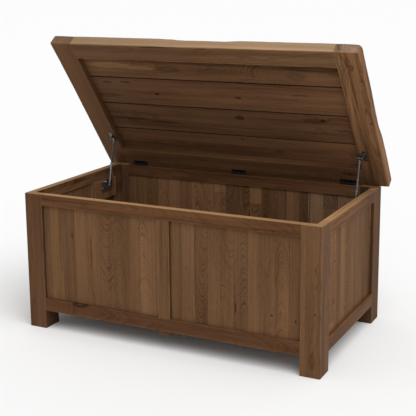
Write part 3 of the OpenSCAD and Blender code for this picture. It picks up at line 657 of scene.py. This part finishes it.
def dress_planks():
    plank = {"width": PLANK_ARRIS, "wear": 0.0, "contrast": 1.2}
    dress("lid_plank_1", LID_LONG, seed=55, heart=(0, 0.01, -0.018), lean=0.10, tint=1.08,
          seams=PLANK_SEAMS, **plank, marks=[
              (0.51, 0.05, 0.050, 0.013, 7.0, 0.12), (0.91, 0.05, 0.060, 0.016, 6.0, 0.1),
              (-0.30, -0.15, 0.050, 0.012, 3.0, 0.35), (0.80, 0.30, 0.110, 0.012, 3.0, 0.6),
              (0.97, 0.10, 0.050, 0.014, 2.0, 0.45), (0.66, -0.3, 0.035, 0.020, 5.0, 0.25)], pale=[
              (-0.76, 0.02, 0.085, 0.012, 0.0, 0.6), (-0.52, -0.15, 0.060, 0.008, 0.0, 0.55)])
    dress("lid_plank_2", LID_LONG, seed=56, tint=(1.05, 1.0, 1.02), fade=(0.14, 0.0),
          seams=PLANK_SEAMS, **plank, marks=[
              (-0.86, 0.52, 0.022, 0.004, 1.5, 0.7), (-0.70, 0.58, 0.020, 0.004, 1.5, 0.7),
              (-0.47, -0.18, 0.009, 0.006, 2.5, 0.95), (0.18, -0.15, 0.012, 0.005, 2.0, 0.8),
              (-0.90, -0.45, 0.060, 0.010, 1.5, 0.35), (0.65, 0.22, 0.030, 0.004, 2.0, 0.4)])
    dress("lid_plank_3", LID_LONG, seed=57, tint=(0.97, 0.94, 0.97), fade=(0.22, 0.0),
          seams=PLANK_SEAMS, **plank, marks=[
              (-0.80, -0.23, 0.080, 0.004, 1.0, 0.8), (-0.50, -0.36, 0.060, 0.003, 0.5, 0.75),
              (0.14, 0.34, 0.016, 0.009, 3.5, 0.75), (0.77, 0.51, 0.009, 0.007, 3.0, 0.95),
              (0.70, 0.45, 0.035, 0.012, 2.0, 0.35), (0.93, -0.15, 0.050, 0.003, 0.5, 0.6)])
    dress("lid_plank_4", LID_LONG, seed=58, tint=(1.10, 1.05, 1.08), fade=(0.32, 0.0),
          seams=LAST_PLANK_SEAMS, **plank, marks=[
              (0.37, -0.28, 0.014, 0.008, 5.0, 0.4), (0.1, 0.6, 0.006, 0.004, 1.5, 0.6)])


def make_lid_frame_oaks():
    """The oak of each member of the lid's frame, by the CAD node that it replaces."""
    left, right, front, back = "lid_left_end", "lid_right_end", "lid_front_rail", "lid_back_rail"
    return {
        # The left end's mark at its back end is painted shade
        left: oak(left, LID_SHORT, seed=51, heart=(0, 0.09, 0.0), lean=0.0, contrast=0.6,
                  tint=(0.93, 0.89, 0.86), bare=[LEFT_END_GRAIN], marks=[
                      (-0.95, -0.5, 0.05, 0.03, 0.3, 0.35)]),
        right: oak(right, LID_SHORT, seed=52, heart=(0, -0.03, -0.012), lean=0.02, contrast=1.5,
                   tint=(1.46, 1.43, 1.42), fade=(0.34, -0.15), bare=[RIGHT_END_GRAIN], marks=[
                       (0.86, 0.70, 0.060, 0.010, 1.0, 0.3), (0.60, 0.75, 0.070, 0.005, 1.0, 0.45),
                       (0.40, 0.10, 0.060, 0.005, 1.0, 0.4), (0.0, 0.38, 0.110, 0.005, 0.5, 0.45),
                       (-0.6, 0.20, 0.100, 0.005, 0.5, 0.45), (0.79, -0.11, 0.012, 0.008, 3.0, 0.5),
                       (0.86, 0.10, 0.020, 0.010, 4.0, 0.35), (0.0, -0.70, 0.004, 0.003, 0.5, 0.9)]),
        front: oak(front, LID_LONG, seed=53, heart=(0, 0.03, -0.03), tint=(1.06, 1.07, 1.10), contrast=0.9,
                   wear=0.5, fade=(0.13, 0.0), bare=[PALE_LID_FRONT], marks=[
                       (0.05, 0.86, 0.020, 0.002, 0.5, 0.6), (-0.28, 0.88, 0.060, 0.0025, 0.5, 0.75)]),
        back: oak(back, LID_LONG, seed=54, tint=1.12, wear=0.1, fade=(0.12, 0.0), bare=[PLANK_STEP], marks=[
            (0.83, 0.30, 0.030, 0.010, 7.0, 0.5), (0.83, 0.30, 0.006, 0.004, 0.0, 0.9)]),
    }


# ---------------------------------------------------------------------------
# The lid's frame: hand-worn edges that wander a few millimetres
# ---------------------------------------------------------------------------


def closed_box(node):
    """The low and high corner of one of the lid's nodes as the lid lies closed, measured from the pins."""
    points = [LID_TURN.transposed() @ (v.co - PINS) for v in frame["nodes"][node].data.vertices]
    return (Vector([min(p[i] for p in points) for i in range(3)]),
            Vector([max(p[i] for p in points) for i in range(3)]))


def grid_lines(low, high, step):
    """Positions from low to high, close together near both ends."""
    near = [d * MM for d in NET_NEAR_EDGE]
    inner_low, inner_high = low + near[-1], high - near[-1]
    count = max(1, round((inner_high - inner_low) / step))
    middle = [inner_low + (inner_high - inner_low) * i / count for i in range(1, count)]
    return [low + d for d in near] + middle + [high - d for d in reversed(near)]


def box_skin(lines):
    """The surface of a box as a net on its grid lines: the points and the faces."""
    counts = [len(positions) for positions in lines]
    names, points, faces = {}, [], []
    for axis in range(3):
        u, v = (axis + 1) % 3, (axis + 2) % 3
        for end in (0, counts[axis] - 1):
            for i in range(counts[u] - 1):
                for j in range(counts[v] - 1):
                    corners = []
                    for across, up in ((0, 0), (1, 0), (1, 1), (0, 1)):
                        key = [end] * 3
                        key[u], key[v] = i + across, j + up
                        key = tuple(key)
                        if key not in names:
                            names[key] = len(points)
                            points.append(Vector([lines[k][key[k]] for k in range(3)]))
                        corners.append(names[key])
                    faces.append(corners if end else corners[::-1])
    return points, faces


def swell(value, places):
    """A smooth curve through (place, height) pairs, level beyond them."""
    if value <= places[0][0]:
        return places[0][1]
    for (a, low), (b, high) in zip(places, places[1:]):
        if value <= b:
            share = (value - a) / (b - a)
            return low + (high - low) * share * share * (3 - 2 * share)
    return places[-1][1]


# Radii of worn edges and swells of outlines, in millimetres by place in metres. Places on the front are
# measured from the lid's middle, and places on the sides back from its front.
FRONT_WEAR = ((-0.10, 2.5), (-0.06, 8.0), (0.09, 9.5), (0.16, 2.5), (0.50, 3.0), (0.54, 5.0))
FRONT_SWELL = ((-0.55, 4.5), (-0.46, 3.0), (-0.16, 2.8), (-0.10, 1.4))
LEFT_SWELL = ((0.0, 4.0), (0.09, 2.0), (0.22, 0.4))
RIGHT_SWELL = ((0.22, 0.2), (0.30, -0.8), (0.33, -0.7), (0.40, 3.2), (0.50, 5.0), (0.56, 4.0))
SIDE_WEAR = ((0.0, 6.0), (0.12, 4.0), (0.26, 7.0), (0.42, 5.0), (0.56, 7.0))

# Other sizes of the worn frame, in millimetres
CRISP = 1.2                 # radius of edges that aren't worn
BACK_CRISP = 0.5            # radius of the members' back edges
LEFT_BACK_CORNER = 9.0      # how far the back corners swell backwards
RIGHT_BACK_CORNER = -2.5
LEFT_FRONT_ROUND = 3        # radii of the corners seen from above
RIGHT_FRONT_ROUND = 15
BACK_ROUND = 2

# How far its shapes reach, in metres
FRONT_REACH = 0.06          # how far back the front's swell dies away
CORNER_REACH = 0.05         # how far forward a back corner's swell dies away
CORNER_FROM = 0.515         # where it starts, from the lid's middle
CORNER_BLEND = 0.02         # and how quickly
RAIL_EDGE = 0.03            # how much of a rail's width counts as its outer edge
END_EDGE = 0.02

# The net of points that carries the worn shape
NET_STEP = 14 * MM
NET_STEP_ALONG_GRAIN = 9 * MM
NET_NEAR_EDGE = (0, 0.4, 1.0, 2.0, 3.5, 5.5, 8.0, 11.0)     # millimetres


def wander(along, seed, size):
    """A small smooth unevenness along an edge."""
    slow = noise.noise(Vector((along * 11, seed, 0.3)))
    quick = noise.noise(Vector((along * 37, seed, 1.7)))
    return size * (slow + 0.5 * quick)


def make_lid_frame(finishes):
    """Replaces the four members of the lid's frame by the same boards with worn outer edges."""
    boxes = {node: closed_box(node) for node in finishes}
    inner = (boxes["lid_left_end"][1].x, boxes["lid_right_end"][0].x)
    low = Vector([min(box[0][i] for box in boxes.values()) for i in range(3)])
    high = Vector([max(box[1][i] for box in boxes.values()) for i in range(3)])
    for node, (box_low, box_high) in boxes.items():
        rail = node in ("lid_front_rail", "lid_back_rail")
        if rail:
            box_low.x, box_high.x = inner
        steps = [NET_STEP] * 3
        steps[0 if rail else 1] = NET_STEP_ALONG_GRAIN
        lines = [grid_lines(box_low[i], box_high[i], steps[i]) for i in range(3)]
        points, faces = box_skin(lines)
        points = [lid_point(p, box_low, box_high, low, high, inner, rail) for p in points]
        data = bpy.data.meshes.new(node + "_worn")
        data.from_pydata([PINS + LID_TURN @ p for p in points], [], faces)
        data.shade_smooth()
        data.materials.append(finishes[node])
        piece = bpy.data.objects.new(node + "_worn", data)
        bpy.context.scene.collection.objects.link(piece)
        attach(piece, "lid")
        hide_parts(node)


def lid_point(point, box_low, box_high, low, high, inner, rail):
    """Moves one point of a member's plain box to its worn place."""
    from_front = point.y - low.y
    worn = round_edges(point, box_low, box_high, low, high, inner, rail)
    if not rail:
        worn = round_in_plan(worn, low, high)
    forward = swell(point.x, FRONT_SWELL) + wander(point.x, seed=5.0, size=0.7)
    worn.y -= forward * MM * max(0.0, 1 - from_front / FRONT_REACH)
    near_back = max(0.0, 1 - (high.y - point.y) / CORNER_REACH)
    near_side = min(1.0, max(0.0, (abs(point.x) - CORNER_FROM) / CORNER_BLEND))
    corner = LEFT_BACK_CORNER if point.x < 0 else RIGHT_BACK_CORNER
    worn.y += corner * MM * near_back * near_side
    side = swell(from_front, RIGHT_SWELL if point.x > 0 else LEFT_SWELL)
    side += wander(from_front, seed=7.0, size=0.7)
    share = max(0.0, abs(point.x) - inner[1]) / ((high.x - low.x) / 2 - inner[1])
    outward = 1 if point.x > 0 else -1
    worn.x += outward * side * MM * share * share
    return worn


def round_edges(point, box_low, box_high, low, high, inner, rail):
    """Rounds a member's edges, the lid's outer ones by their wear and the others a little."""
    from_front = point.y - low.y
    wear = swell(point.x, FRONT_WEAR) + wander(point.x, seed=2.0, size=1.0)
    side_wear = swell(from_front, SIDE_WEAR)
    side_wear += wander(from_front, seed=3.0 + math.copysign(1, point.x), size=1.5)
    front = wear if box_low.y == low.y else CRISP
    left = 0.0 if rail else (side_wear if point.x < 0 else CRISP)
    right = 0.0 if rail else (side_wear if point.x > 0 else CRISP)
    outside = near_outside(point, low, high, inner, rail)
    top = max(front, 0 if rail else side_wear) if outside else CRISP
    radii_low = [left, front, CRISP]
    radii_high = [right, BACK_CRISP, top]
    core, reach = Vector(point), Vector((1, 1, 1))
    for i in range(3):
        if point[i] < box_low[i] + radii_low[i] * MM:
            core[i], reach[i] = box_low[i] + radii_low[i] * MM, radii_low[i] * MM
        elif point[i] > box_high[i] - radii_high[i] * MM:
            core[i], reach[i] = box_high[i] - radii_high[i] * MM, radii_high[i] * MM
    out = Vector([(point[i] - core[i]) / reach[i] for i in range(3)])
    if out.length == 0:
        return point.copy()
    out.normalize()
    return core + Vector([out[i] * reach[i] for i in range(3)])


def near_outside(point, low, high, inner, rail):
    """Whether a point's nearest long edge is one of the lid's outer edges."""
    from_middle = abs(point.y - (low.y + high.y) / 2)
    half_depth = (high.y - low.y) / 2
    if rail:
        return from_middle > half_depth - RAIL_EDGE
    return abs(point.x) > (inner[1] + high.x) / 2 or from_middle > half_depth - END_EDGE


def round_in_plan(point, low, high):
    """Rounds the lid's corners seen from above."""
    in_front = point.y < (low.y + high.y) / 2
    radius = (LEFT_FRONT_ROUND if point.x < 0 else RIGHT_FRONT_ROUND) if in_front else BACK_ROUND
    radius *= MM
    x = abs(point.x) - (high.x - radius)
    y = (low.y + radius - point.y) if in_front else point.y - (high.y - radius)
    if x <= 0 or y <= 0:
        return point
    scale = max(x, y) / math.hypot(x, y)
    forward = -1 if in_front else 1
    return Vector((math.copysign(high.x - radius + x * scale, point.x),
                   point.y + forward * (y * scale - y), point.z))


# ---------------------------------------------------------------------------
# Metals
# ---------------------------------------------------------------------------

METAL_GRAIN = 900.0      # grains in a metre
UNPOLISHED = 0.65        # brightness of the places that aren't rubbed clean


def metal(name, colour, rough, metallic=1.0):
    """A metal finish with fine grain, cloudy handling marks and a little dirt."""
    material = bpy.data.materials.new(name)
    material.use_nodes = True
    nodes = Tree(material.node_tree)
    shader = material.node_tree.nodes["Principled BSDF"]
    place = nodes.add("ShaderNodeTexCoord", {}, out="Object")
    cloud = nodes.noise(place, (70, 70, 70), detail=3.0)
    fine = nodes.noise(place, (METAL_GRAIN, METAL_GRAIN, METAL_GRAIN), detail=2.0)
    worn = nodes.ease(cloud, 0.45, 0.65)
    nodes.fill(shader.inputs["Base Color"], nodes.mix(worn, rgb(colour, UNPOLISHED), rgb(colour)))
    nodes.fill(shader.inputs["Roughness"], nodes.scale(cloud, 0.3, 0.7, rough + 0.12, rough - 0.06))
    shader.inputs["Metallic"].default_value = metallic
    bump = {"Height": fine, "Strength": 0.25, "Distance": 0.08 * MM}
    nodes.fill(shader.inputs["Normal"], nodes.add("ShaderNodeBump", bump))
    return material


def dress_metal():
    finishes = {
        "black_steel": metal("black_steel_finish", (0.030, 0.025, 0.020), 0.42, metallic=0.6),
        "screw_steel": metal("screw_steel_finish", (0.34, 0.33, 0.32), 0.35),
        "plated_steel": metal("plated_steel_finish", (0.52, 0.535, 0.56), 0.34),
    }
    for node, piece in frame["nodes"].items():
        slot = piece.data.materials[0].name
        if slot in finishes:
            paint(node, finishes[slot])
    # The rods and the tubes are each one steel. Their left and right copies differ as painted light and
    # shade: the right rod and the left tube lighter, the left rod and the right tube darker.
    paint("left_stay_rod", metal("left_rod_painted_shade", (0.11, 0.107, 0.10), 0.36))
    paint("right_stay_rod", metal("right_rod_painted_light", (0.17, 0.165, 0.155), 0.36))
    paint("left_stay_tube", metal("left_tube_painted_light", (0.33, 0.34, 0.36), 0.34))
    paint("right_stay_tube", metal("right_tube_painted_shade", (0.17, 0.175, 0.185), 0.36))
    fitting = metal("fitting_finish", (0.20, 0.19, 0.175), 0.38)
    swivel = metal("swivel_finish", (0.15, 0.145, 0.14), 0.4)
    for side in ("left", "right"):
        paint(side + "_stay_socket", fitting)
        paint(side + "_stay_upper_bracket", fitting)
        paint(side + "_stay_swivel", swivel)


# ---------------------------------------------------------------------------
# Stage
# ---------------------------------------------------------------------------

FLOOR_RADIUS = 90.0
FLOOR_PALE = (0.86, 0.86, 0.86)
WORLD_STRENGTH = 0.50
TOP_LIGHT = (0.50, -0.38, 1.0)       # where each light comes from
TOP_STRENGTH = 2.3
FRONT_LIGHT = (0.75, -1.0, 0.35)
FRONT_STRENGTH = 0.40
LIGHT_SPREAD = 60                    # degrees


def make_stage():
    """A plain pale floor and soft light from above and in front."""
    bpy.ops.mesh.primitive_circle_add(vertices=96, radius=FLOOR_RADIUS, fill_type="NGON")
    floor = bpy.context.object
    floor.name = "studio_floor"
    material = bpy.data.materials.new("pale_floor")
    material.use_nodes = True
    shader = material.node_tree.nodes["Principled BSDF"]
    shader.inputs["Base Color"].default_value = rgb(FLOOR_PALE)
    shader.inputs["Roughness"].default_value = 0.9
    shader.inputs["Specular IOR Level"].default_value = 0.1
    floor.data.materials.append(material)
    world = bpy.data.worlds.new("studio")
    world.use_nodes = True
    background = world.node_tree.nodes["Background"]
    background.inputs["Color"].default_value = (1, 1, 1, 1)
    background.inputs["Strength"].default_value = WORLD_STRENGTH
    bpy.context.scene.world = world
    sky("top_light", TOP_LIGHT, TOP_STRENGTH)
    sky("front_light", FRONT_LIGHT, FRONT_STRENGTH)


def sky(name, towards, strength):
    """A very soft light from one side of the sky, as from a large softbox."""
    data = bpy.data.lights.new(name, "SUN")
    data.angle = math.radians(LIGHT_SPREAD)
    data.energy = strength
    light = bpy.data.objects.new(name, data)
    light.rotation_mode = "QUATERNION"
    light.rotation_quaternion = Vector(towards).to_track_quat("Z", "Y")
    bpy.context.scene.collection.objects.link(light)


make_camera()
dress_metal()
dress_posts()
dress_rails()
dress_panels()
dress_inside()
dress_planks()
make_lid_frame(make_lid_frame_oaks())
make_stage()
bpy.context.scene.view_settings.view_transform = "Standard"
